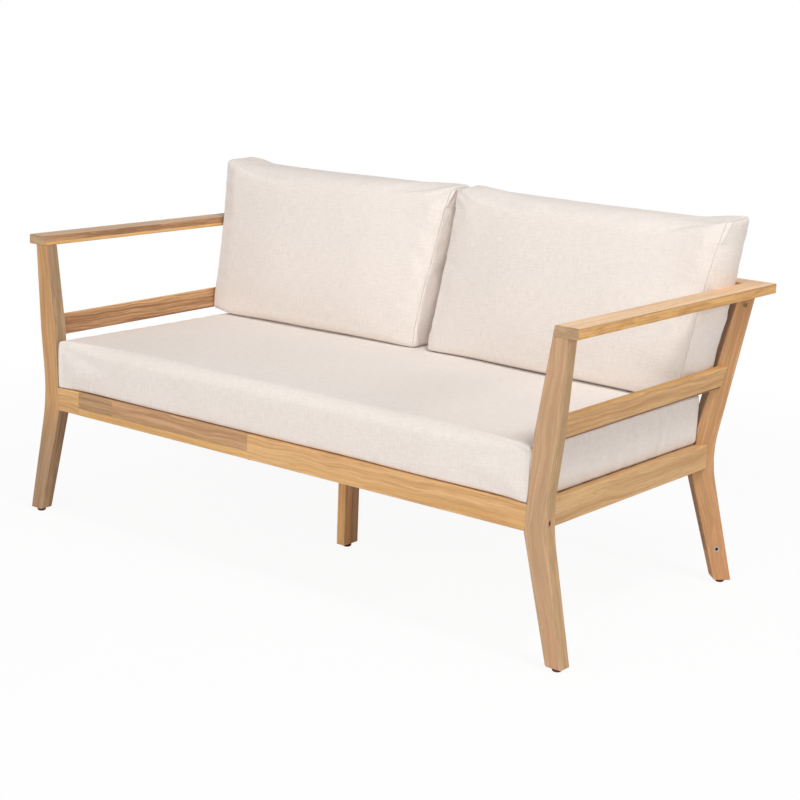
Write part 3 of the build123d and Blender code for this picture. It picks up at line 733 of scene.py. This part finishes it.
def tucked(back, down, depth):
    """Relief of a corner's tuck on the gusset: a flap that runs out below, with a crease under it."""
    fade = 1.0 - down / TUCK_LENGTH
    crease = bump(down - TUCK_LENGTH - TUCK_CREASE, TUCK_CREASE) * bump(back, TUCK_REACH)
    if fade <= 0:
        return -depth * TUCK_CREASE_SHARE * crease
    crest = TUCK_REACH * fade + TUCK_CREASE / 2
    stand = back / crest if back < crest else bump(back - crest, TUCK_CREASE)
    return depth * (math.sqrt(fade) * stand - TUCK_CREASE_SHARE * crease)


# The seam's groove, and the ridge of its allowance under the stitches
SEAM_DEPTH = 1.2 * MM
SEAM_WIDTH = 2.2 * MM
ALLOWANCE_HEIGHT = 0.7 * MM
ALLOWANCE_WIDTH = 3.0 * MM
# Small gathers beside the seams: their repeats in a metre along x, y and z, and where they lie
GATHER_RATE = (9, 42, 42)
GATHER_HEIGHT = 1.5 * MM
GATHER_START = 5 * MM
GATHER_FADE = 15 * MM
# Soft hollows of the filling, away from the seams
HOLLOW_RATE = (5, 7, 7)
HOLLOW_HEIGHT = 1.6 * MM
HOLLOW_START = 60 * MM


def pucker(piece, size, tucks, seed):
    """Draw the cover in along the seams, with small gathers, tucked corners and soft hollows."""
    width, depth, height = size
    mesh = piece.data
    gaps = [item.value for item in mesh.attributes["seam"].data]
    places = [Vector(item.vector) for item in mesh.attributes["place"].data]
    normals = [Vector(item.vector) for item in mesh.vertex_normals]
    for vertex, gap, place, normal in zip(mesh.vertices, gaps, places, normals):
        away = abs(gap)
        spot = vertex.co
        out = -SEAM_DEPTH * bump(away, SEAM_WIDTH)
        out += ALLOWANCE_HEIGHT * bump(gap - SEAM_ROW_OFFSET, ALLOWANCE_WIDTH)
        ripple = noise.noise(spot * Vector(GATHER_RATE) + Vector((seed, 0, 0)))
        out += GATHER_HEIGHT * ripple * math.exp(-away / GATHER_FADE) * smooth(away / GATHER_START)
        hollow = noise.noise(spot * Vector(HOLLOW_RATE) + Vector((0, 0, seed)))
        out += HOLLOW_HEIGHT * hollow * smooth(away / HOLLOW_START)
        if gap < 0:
            head_tuck, foot_tuck = tucks[1 if place.x > 0 else -1]
            head = (0.5 - place.z) * height
            foot = (0.5 + place.z) * height
            front = (0.5 + place.y) * depth
            out += tucked(front, head, head_tuck) + tucked(front, foot, foot_tuck)
        vertex.co = spot + normal * out


cover_linen = linen("cover_linen")


def cushion(node, body, size, shape, cell, hold, tucks, seed, foot_shade):
    """Sew, puff and finish the cover of one cushion.

    The shape places a point of the unit box, and hold keeps a swollen point in its room. Tucks gives
    the heights of the tucks at the head and the foot of each gusset, 1 at the right and -1 at the
    left. The last argument is how high the painted shade along the foot reaches, or 0 for none.
    """
    form = sewn_box(size, cell)
    weave_map(form, size)
    gaps = form.verts.layers.float.new("seam")
    places = form.verts.layers.float_vector.new("place")
    form.verts.index_update()
    pins = []
    for vertex in form.verts:
        gap = seam_gap(vertex.co, size)
        vertex[gaps] = gap
        vertex[places] = vertex.co
        if abs(gap) < ON_SEAM:
            pins.append(vertex.index)
        vertex.co = shape(vertex.co.copy())
    for face in form.faces:
        face.smooth = True
    bmesh.ops.recalc_face_normals(form, faces=form.faces)
    piece = from_form(f"{node}_cover", form)
    puff(piece, pins, hold)
    refine(piece)
    pucker(piece, size, tucks, seed)
    # Each point's height above the foot, as a share of the painted shade's reach
    foot_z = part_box(node)[0].z
    foot_shades = piece.data.attributes.new("foot_shade", "FLOAT", "POINT")
    for item, vertex in zip(foot_shades.data, piece.data.vertices):
        item.value = (vertex.co.z - foot_z) / foot_shade if foot_shade else NO_FOOT_SHADE
    piece.data.materials.append(cover_linen)
    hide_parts(node)
    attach(piece, body)


# Seat cushion
SEAT_CELL = 9 * MM
SEAT_CROWN = 3.5 * MM
SEAT_CROWN_SPREAD = 1.6
SEAT_CROWN_POWER = 0.5
SEAT_FRONT_ROLL = 28 * MM
SEAT_FOOT_ROLL = 6 * MM
SEAT_REAR_ROLL = 26 * MM
SEAT_END_ROLL = 6 * MM
SEAT_ROLL_POWER = 6
SEAT_REAR_CORNER = 28 * MM
SEAT_FRONT_CORNER = 8 * MM
SEAT_SIDE_SWELL = 2 * MM
SEAT_FRONT_DRAW = 4 * MM
SEAT_TUCKS = (1.5 * MM, 1.0 * MM)
SEAT_FOOT_SHADE = 1.4 * MM
seat_low, seat_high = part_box("seat_cushion")
seat_width = seat_high.x - seat_low.x
seat_depth = seat_high.y - seat_low.y
seat_edge = seat_high.z - seat_low.z - SEAT_CROWN
seat_middle_y = (seat_low.y + seat_high.y) / 2


def turned(y, z, half_y, half_z, radius):
    """Round one corner of a panel's outline, moving the panel's inner rows along with it."""
    over_y = (abs(y) - half_y + radius) / radius
    over_z = (abs(z) - half_z + radius) / radius
    if over_y <= 0 or over_z <= 0:
        return y, z
    share = max(over_y, over_z) / math.hypot(over_y, over_z)
    new_y = half_y - radius + over_y * share * radius
    new_z = half_z - radius + over_z * share * radius
    return math.copysign(new_y, y), math.copysign(new_z, z)


def seat_shape(place):
    """Seat cushion: rolled front and rear edges between two gussets, and a crowned top."""
    half = Vector((seat_width, seat_depth, seat_edge)) / 2
    middle = 1.0 - abs(place.x * 2) ** SEAT_ROLL_POWER
    full = SEAT_FRONT_ROLL if place.z > 0 else SEAT_FOOT_ROLL
    roll = SEAT_END_ROLL + (full - SEAT_END_ROLL) * middle
    point = Vector([p * h * 2 for p, h in zip(place, half)])
    x, y, z = rounded(point, half, (SEAT_END_ROLL, roll, roll))
    if y > 0 and z < 0:
        y, z = turned(y, z, half.y, half.z, SEAT_REAR_ROLL)
    across = x / half.x
    up = z / seat_edge + 0.5
    back = min(max(y / seat_depth + 0.5, 0.0), 1.0)
    x -= across * SEAT_SIDE_SWELL * (1.0 - math.sin(math.pi * up))
    y += SEAT_FRONT_DRAW * (1.0 - across ** 2) * (1.0 - smooth(back * 2))
    # The ends of the plan are rounded: a little at the front, more beside the back legs
    corner = SEAT_REAR_CORNER if y > 0 else SEAT_FRONT_CORNER
    x, y, _ = rounded((x, y, 0.0), (half.x, half.y, 1.0), (corner, corner, 1.0))
    crown = smooth(SEAT_CROWN_SPREAD * (1.0 - abs(across))) * math.sin(math.pi * back) ** SEAT_CROWN_POWER
    z += SEAT_CROWN * crown * smooth((up - 0.5) * 2)
    return Vector((x, seat_middle_y + y, seat_low.z + half.z + z))


def seat_hold(point, shift):
    """Keep the swollen seat cushion above the slats, below the back cushions and off the legs."""
    moved = point + shift
    return Vector([max(min(p, high), low) for p, low, high in zip(moved, seat_low, seat_high)])


cushion(
    "seat_cushion",
    "seat_pad",
    (seat_width, seat_depth, seat_edge),
    seat_shape,
    cell=SEAT_CELL,
    hold=seat_hold,
    tucks={1: SEAT_TUCKS, -1: SEAT_TUCKS},
    seed=1.0,
    foot_shade=SEAT_FOOT_SHADE,
)

# Back cushions, each leaning on the rails
BACK_CELL = 8 * MM
BACK_FRONT_Y = 150.0 * MM
BACK_THICKNESS = 125.0 * MM
BACK_HEIGHT = 370.0 * MM
BACK_FRONT_LEAN = math.radians(13.5)
BACK_REAR_LEAN = math.radians(8.5)
BACK_FRONT_TURN = math.radians(2.4)
BACK_REAR_TURN = math.radians(1.2)
BACK_FRONT_CROWN = 17 * MM
BACK_REAR_CROWN = 5 * MM
BACK_CROWN_SPREAD = 1.5
BACK_CROWN_POWER = 0.7
BACK_TOP_DRAW = 1.5 * MM
BACK_OUTER_DRAW = 7 * MM
BACK_INNER_DRAW = 3 * MM
BACK_HEAD_ROLL = 44 * MM
BACK_FOOT_ROLL = 27 * MM
BACK_END_ROLL = 11 * MM
BACK_HEAD_OUTER_ROLL = 10 * MM
BACK_HEAD_INNER_ROLL = 24 * MM
BACK_ROLL_POWER = 4
BACK_SWELL = 5 * MM
BACK_FIRM_HEIGHT = 110 * MM
# The gussets narrow at their corners, over these shares of the width and the height, less in front
BACK_CORNER_PINCH = 16 * MM
BACK_FRONT_PINCH_SHARE = 0.3
BACK_PINCH_WIDTH_SHARE = 0.14
BACK_PINCH_HEIGHT_SHARE = 0.3
# How far the rear spreads outwards: its full height, then more from the waist up and less at the
# head, each with the shares of the height where it sets in and over which it grows
BACK_REAR_FLARE = 3 * MM
BACK_WAIST_FLARE = 7.5 * MM
BACK_WAIST_SHARES = (0.2, 0.25)
BACK_HEAD_FLARE = -4.5 * MM
BACK_HEAD_SHARES = (0.6, 0.3)
# The outer end rises at the foot and has a small horn at the head, over a share of the width.
# The rise fades out over the lowest third, and the power keeps the head's forms to the head
BACK_FOOT_LIFT = 9 * MM
BACK_HORN = 4 * MM
BACK_LIFT_SHARE = 0.16
BACK_LIFT_FADE = 3
BACK_HEAD_POWER = 3
BACK_OUTER_TUCKS = (2.0 * MM, 1.5 * MM)
BACK_INNER_TUCKS = (6.0 * MM, 3.0 * MM)
# Reach of the painted shade along the foot: the cushion at the right has it, the one at the left none
BACK_FOOT_SHADES = {"right": 2.2 * MM, "left": 0}
# The way out from the middle, then x of the inner and outer ends at the foot and at the head
BACK_ENDS = {
    "right": (1, -9.0 * MM, -5.0 * MM, 650.0 * MM, 683.0 * MM),
    "left": (-1, -48.0 * MM, -16.0 * MM, -652.0 * MM, -683.0 * MM),
}


def back_shape_for(side, inner_foot, inner_head, outer_foot, outer_head, foot_z):
    """The shape of one back cushion, from where its four front corners are."""
    half = Vector((abs(outer_foot - inner_foot), BACK_THICKNESS, BACK_HEIGHT)) / 2

    def leaning(lean, turn, y, out, up):
        """A point of a panel that leans back and is turned towards the middle of the seat."""
        turn = side * turn
        across = Vector((math.cos(turn), -math.sin(turn), 0))
        rise = Vector(
            (math.sin(turn) * math.sin(lean), math.cos(turn) * math.sin(lean), math.cos(lean))
        )
        return Vector((inner_foot, y, foot_z)) + across * out + rise * up

    def grown(up, start, span):
        return smooth((up - start) / span)

    def shape(place):
        wide = abs(place.x * 2)
        tall = abs(place.z * 2)
        full = BACK_HEAD_ROLL if place.z > 0 else BACK_FOOT_ROLL
        ends = BACK_END_ROLL
        if place.z > 0:
            ends = BACK_HEAD_OUTER_ROLL if place.x * side > 0 else BACK_HEAD_INNER_ROLL
        roll = ends + (full - ends) * (1.0 - wide ** BACK_ROLL_POWER)
        point = Vector([p * h * 2 for p, h in zip(place, half)])
        x, y, z = rounded(point, half, (BACK_END_ROLL, roll, roll))
        pinch = smooth((wide - (1 - BACK_PINCH_WIDTH_SHARE)) / BACK_PINCH_WIDTH_SHARE)
        pinch *= smooth((tall - (1 - BACK_PINCH_HEIGHT_SHARE)) / BACK_PINCH_HEIGHT_SHARE)
        y -= y / half.y * BACK_CORNER_PINCH * pinch * (1.0 if y > 0 else BACK_FRONT_PINCH_SHARE)
        out_share = x * side / half.x / 2 + 0.5
        up = z / BACK_HEIGHT + 0.5
        back = y / BACK_THICKNESS + 0.5
        bow = 1.0 - (2 * up - 1) ** 2
        swell = BACK_SWELL * (1.0 - (2 * back - 1) ** 2)
        inner = inner_foot + (inner_head - inner_foot) * up + side * (BACK_INNER_DRAW * bow - swell)
        outer = outer_foot + (outer_head - outer_foot) * up - side * (BACK_OUTER_DRAW * bow - swell)
        flare = BACK_REAR_FLARE + BACK_WAIST_FLARE * grown(up, *BACK_WAIST_SHARES)
        flare += BACK_HEAD_FLARE * grown(up, *BACK_HEAD_SHARES)
        outer += side * flare * back
        out = inner + (outer - inner) * out_share - inner_foot
        outermost = grown(out_share, 1.0 - BACK_LIFT_SHARE, BACK_LIFT_SHARE)
        draw = BACK_TOP_DRAW * (1.0 - (2 * out_share - 1) ** 2)
        height = up * BACK_HEIGHT - draw * up ** BACK_HEAD_POWER
        height += BACK_HORN * outermost * max(up, 0.0) ** BACK_HEAD_POWER
        height += BACK_FOOT_LIFT * outermost ** 2 * (1.0 - smooth(up * BACK_LIFT_FADE))
        near = leaning(BACK_FRONT_LEAN, BACK_FRONT_TURN, BACK_FRONT_Y, out, height)
        far = leaning(BACK_REAR_LEAN, BACK_REAR_TURN, BACK_FRONT_Y + BACK_THICKNESS, out, height)
        belly = smooth(BACK_CROWN_SPREAD * (1.0 - wide))
        belly *= math.sin(math.pi * min(max(up, 0), 1)) ** BACK_CROWN_POWER
        forward = BACK_FRONT_CROWN * belly * (1.0 - back) - BACK_REAR_CROWN * belly * back
        return near.lerp(far, back) - Vector((0, forward, 0))

    return shape


def back_hold_for(node):
    """Let the cover swell less towards the foot, which is pressed on the seat."""
    low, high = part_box(node)

    def hold(point, shift):
        moved = point + shift * smooth((point.z - low.z) / BACK_FIRM_HEIGHT)
        moved.z = min(moved.z, high.z)
        return moved

    return hold


for end, (side, inner_foot, inner_head, outer_foot, outer_head) in BACK_ENDS.items():
    node = f"back_cushion_{end}"
    foot_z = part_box(node)[0].z
    cushion(
        node,
        f"back_pad_{end}",
        (abs(outer_foot - inner_foot), BACK_THICKNESS, BACK_HEIGHT),
        back_shape_for(side, inner_foot, inner_head, outer_foot, outer_head, foot_z),
        cell=BACK_CELL,
        hold=back_hold_for(node),
        tucks={side: BACK_OUTER_TUCKS, -side: BACK_INNER_TUCKS},
        seed=3.0 + side,
        foot_shade=BACK_FOOT_SHADES[end],
    )

# Timbers: the way of the grain, the way across the broad face, the colours and what is special
X = (1, 0, 0)
Y = (0, 1, 0)
Z = (0, 0, 1)
FRONT_LEG_BEND = (0.265, 0.652, -0.2276, 0.096)
BACK_LEG_BEND = (0.257, 0.6377, -0.259, 0.188)
FRONT_LEG_KNOT = ((0.678, -0.361, 0.275), 0.005)
# The right middle rail climbs a little to the back, and painted shade darkens its lower outer edge
MID_RAIL_SLOPE = 0.0124
mid_rail_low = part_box("arm_mid_rail_right")[0]
MID_RAIL_BEND = (mid_rail_low.y, mid_rail_low.z, MID_RAIL_SLOPE, MID_RAIL_SLOPE)
FRONT_RAIL_BLOCKS = (
    ({"run": (-566, -56), "side": (268, 310)}, RAIL_MIDDLE),
    ({"run": (-566, -458), "side": (268, 310)}, RAIL_BROWN),
    ({"run": (-566, -56), "side": (250, 268)}, RAIL_STRIP),
    ({"run": (60, 700), "side": (263, 268)}, GOLDEN),
)
# Painted shade: a brown band along the right armrest's rounded upper arris
ARM_RIGHT_ARRIS_SHADE = (({"through": (-639.2, -636.5)}, RAIL_BROWN),)
# Painted light: the lower part of the left armrest's sides is golden, as if lit from below by the seat
ARM_LEFT_BOUNCE_LIGHT = (({"through": (-626, -600)}, GOLDEN),)
LEG_LEFT_FADE = (({"run": (-400, 215)}, LEG_LEFT_FOOT, 70),)
BACK_LEG_STRIP = (({"slant": (-49, 400)}, BACK_LEG_FOOT),)
MID_RAIL_EDGE_SHADE = (({"side": (-5, 4)}, RAIL_EDGE_SHADE),)
CENTRE_LEG_BLOCK = (({"side": (-66, -30)}, CENTRE_LEG_DARK),)
TIMBERS = {
    "armrest_right": (Y, X, ARM_TOP, {"edge": ARM_SIDE, "patches": ARM_RIGHT_ARRIS_SHADE}),
    "armrest_left": (Y, X, ARM_LEFT_TOP, {"edge": ARM_LEFT_SIDE, "patches": ARM_LEFT_BOUNCE_LIGHT}),
    "back_top_rail": (X, Y, ARM_TOP, {"edge": RAIL, "stave": 0.31}),
    "front_leg_right": (
        Z, X, LEG_RIGHT, {"edge": LEG_RIGHT_SIDE, "bend": FRONT_LEG_BEND, "knot": FRONT_LEG_KNOT}
    ),
    "front_leg_left": (
        Z, (-1, 0, 0), LEG_LEFT,
        {"edge": LEG_LEFT_SIDE, "bend": FRONT_LEG_BEND, "patches": LEG_LEFT_FADE},
    ),
    "back_leg_right": (
        Z, (1, 1, 0), BACK_LEG,
        {"edge": BACK_LEG_SIDE_SHADED, "bend": BACK_LEG_BEND, "patches": BACK_LEG_STRIP},
    ),
    "back_leg_left": (Z, (-1, 1, 0), BACK_LEG, {"edge": BACK_LEG_SIDE_SHADED, "bend": BACK_LEG_BEND}),
    "seat_front_rail": (X, Z, RAIL, {"patches": FRONT_RAIL_BLOCKS}),
    "seat_side_rail_right": (Y, Z, SIDE_RAIL, {}),
    "seat_side_rail_left": (Y, Z, SIDE_RAIL, {}),
    "seat_back_rail": (X, Z, RAIL, {"stave": 0.38}),
    "arm_mid_rail_right": (
        Y, Z, MID_RAIL, {"edge": GOLDEN, "bend": MID_RAIL_BEND, "patches": MID_RAIL_EDGE_SHADE}
    ),
    # The left middle rail's golden edges: partly the timber, partly painted light as if lit from below
    "arm_mid_rail_left": (Y, Z, MID_RAIL_LEFT, {"edge": GOLDEN}),
    "back_mid_rail": (X, Z, MID_RAIL, {"stave": 0.35}),
    "centre_beam": (Y, Z, PLAIN, {}),
    "centre_leg": (Z, Y, CENTRE_LEG, {"edge": CENTRE_LEG_FRONT_LIT, "patches": CENTRE_LEG_BLOCK}),
}
for seed, (node, (grain, across, face, special)) in enumerate(TIMBERS.items(), start=1):
    dress(node, hardwood(f"{node}_wood", grain, across, float(seed), face, **special))

# Plain timbers that share a finish
slat_wood = hardwood("slat_wood", X, Y, 17.0, PLAIN, stave=0.5)
cleat_wood = hardwood("cleat_wood", Y, Z, 18.0, PLAIN)
block_wood = hardwood("block_wood", Z, X, 19.0, PLAIN)
for row in range(1, 8):
    dress(f"seat_slat_{row}", slat_wood)
for end in ("right", "left"):
    dress(f"slat_cleat_{end}", cleat_wood)
    dress(f"head_block_{end}", block_wood)

# Metal and plastic
dress("head_bolts", metal("bolt_brass", BRASS_TONE, roughness=0.34))
screw_zinc = metal("screw_zinc", ZINC_TONE, roughness=0.36)
for node in ("foot_inserts", "slat_screws", "cleat_screws", "centre_leg_screws"):
    dress(node, screw_zinc)
glide_brown = moulded("glide_brown", GLIDE_BROWN)
for spot in ("front_right", "front_left", "back_right", "back_left", "centre"):
    dress(f"glide_{spot}", glide_brown)


def studio_floor():
    """A wide pale floor that takes the object's shadow."""
    form = bmesh.new()
    bmesh.ops.create_grid(form, x_segments=1, y_segments=1, size=FLOOR_SIZE / 2)
    floor = from_form("floor", form)
    finish = Finish("floor_white", roughness=1.0, specular_ior_level=0.0)
    finish.set("Base Color", FLOOR_COLOUR)
    far = finish.vector("LENGTH", finish.place(), output=1).rise(*FLOOR_GLOW_SPAN)
    share = finish.seen_by("Camera") * (FLOOR_GLOW + far * (1.0 - FLOOR_GLOW))
    lit = Amount(finish, finish.surface.outputs[0])
    glow = finish.put("ShaderNodeEmission", inputs={"Color": WHITE, "Strength": 1.0})
    mixed = finish.put("ShaderNodeMixShader", inputs={0: share, 1: lit, 2: glow})
    finish.feed(finish.nodes["Material Output"].inputs["Surface"], mixed)
    floor.data.materials.append(finish.material)


def studio_world():
    """Even room light, seen as white by the camera and in reflections."""
    world = bpy.data.worlds.new("studio")
    world.use_nodes = True
    web = Web(world.node_tree)
    seen = web.seen_by("Camera") + web.seen_by("Transmission") + web.seen_by("Glossy")
    background = web.nodes["Background"]
    web.feed(background.inputs["Color"], WHITE)
    web.feed(background.inputs["Strength"], seen.lesser(1.0) * (1.0 - ROOM_LIGHT) + ROOM_LIGHT)
    bpy.context.scene.world = world


def studio_light(name, place, size, power):
    """A square soft lamp that looks at the middle of the seat."""
    lamp = bpy.data.lights.new(name, "AREA")
    lamp.size = size
    lamp.energy = power
    holder = placed(name, lamp)
    holder.location = place
    holder.rotation_euler = (Vector(LAMP_AIM) - Vector(place)).to_track_quat("-Z", "Y").to_euler()


def photo_camera():
    """The camera, turned and tilted as the photograph was."""
    yaw, pitch, roll = (math.radians(a) for a in (CAMERA_YAW, CAMERA_PITCH, CAMERA_ROLL))
    ahead = Vector((-math.sin(yaw) * math.cos(pitch), math.cos(yaw) * math.cos(pitch), -math.sin(pitch)))
    level = Vector((math.cos(yaw), math.sin(yaw), 0))
    above = level.cross(ahead)
    right = math.cos(roll) * level + math.sin(roll) * above
    up = -math.sin(roll) * level + math.cos(roll) * above
    lens = bpy.data.cameras.new("camera")
    lens.lens = CAMERA_LENS
    lens.sensor_width = CAMERA_SENSOR
    camera = placed("camera", lens)
    stance = Matrix((right, up, -ahead)).transposed().to_4x4()
    camera.matrix_world = Matrix.Translation(CAMERA_PLACE) @ stance
    bpy.context.scene.camera = camera


studio_floor()
studio_world()
studio_light("top_lamp", TOP_PLACE, TOP_SIZE, TOP_POWER)
studio_light("front_lamp", FRONT_PLACE, FRONT_SIZE, FRONT_POWER)
studio_light("side_lamp", SIDE_PLACE, SIDE_SIZE, SIDE_POWER)
photo_camera()
bpy.context.scene.view_settings.view_transform = "Standard"
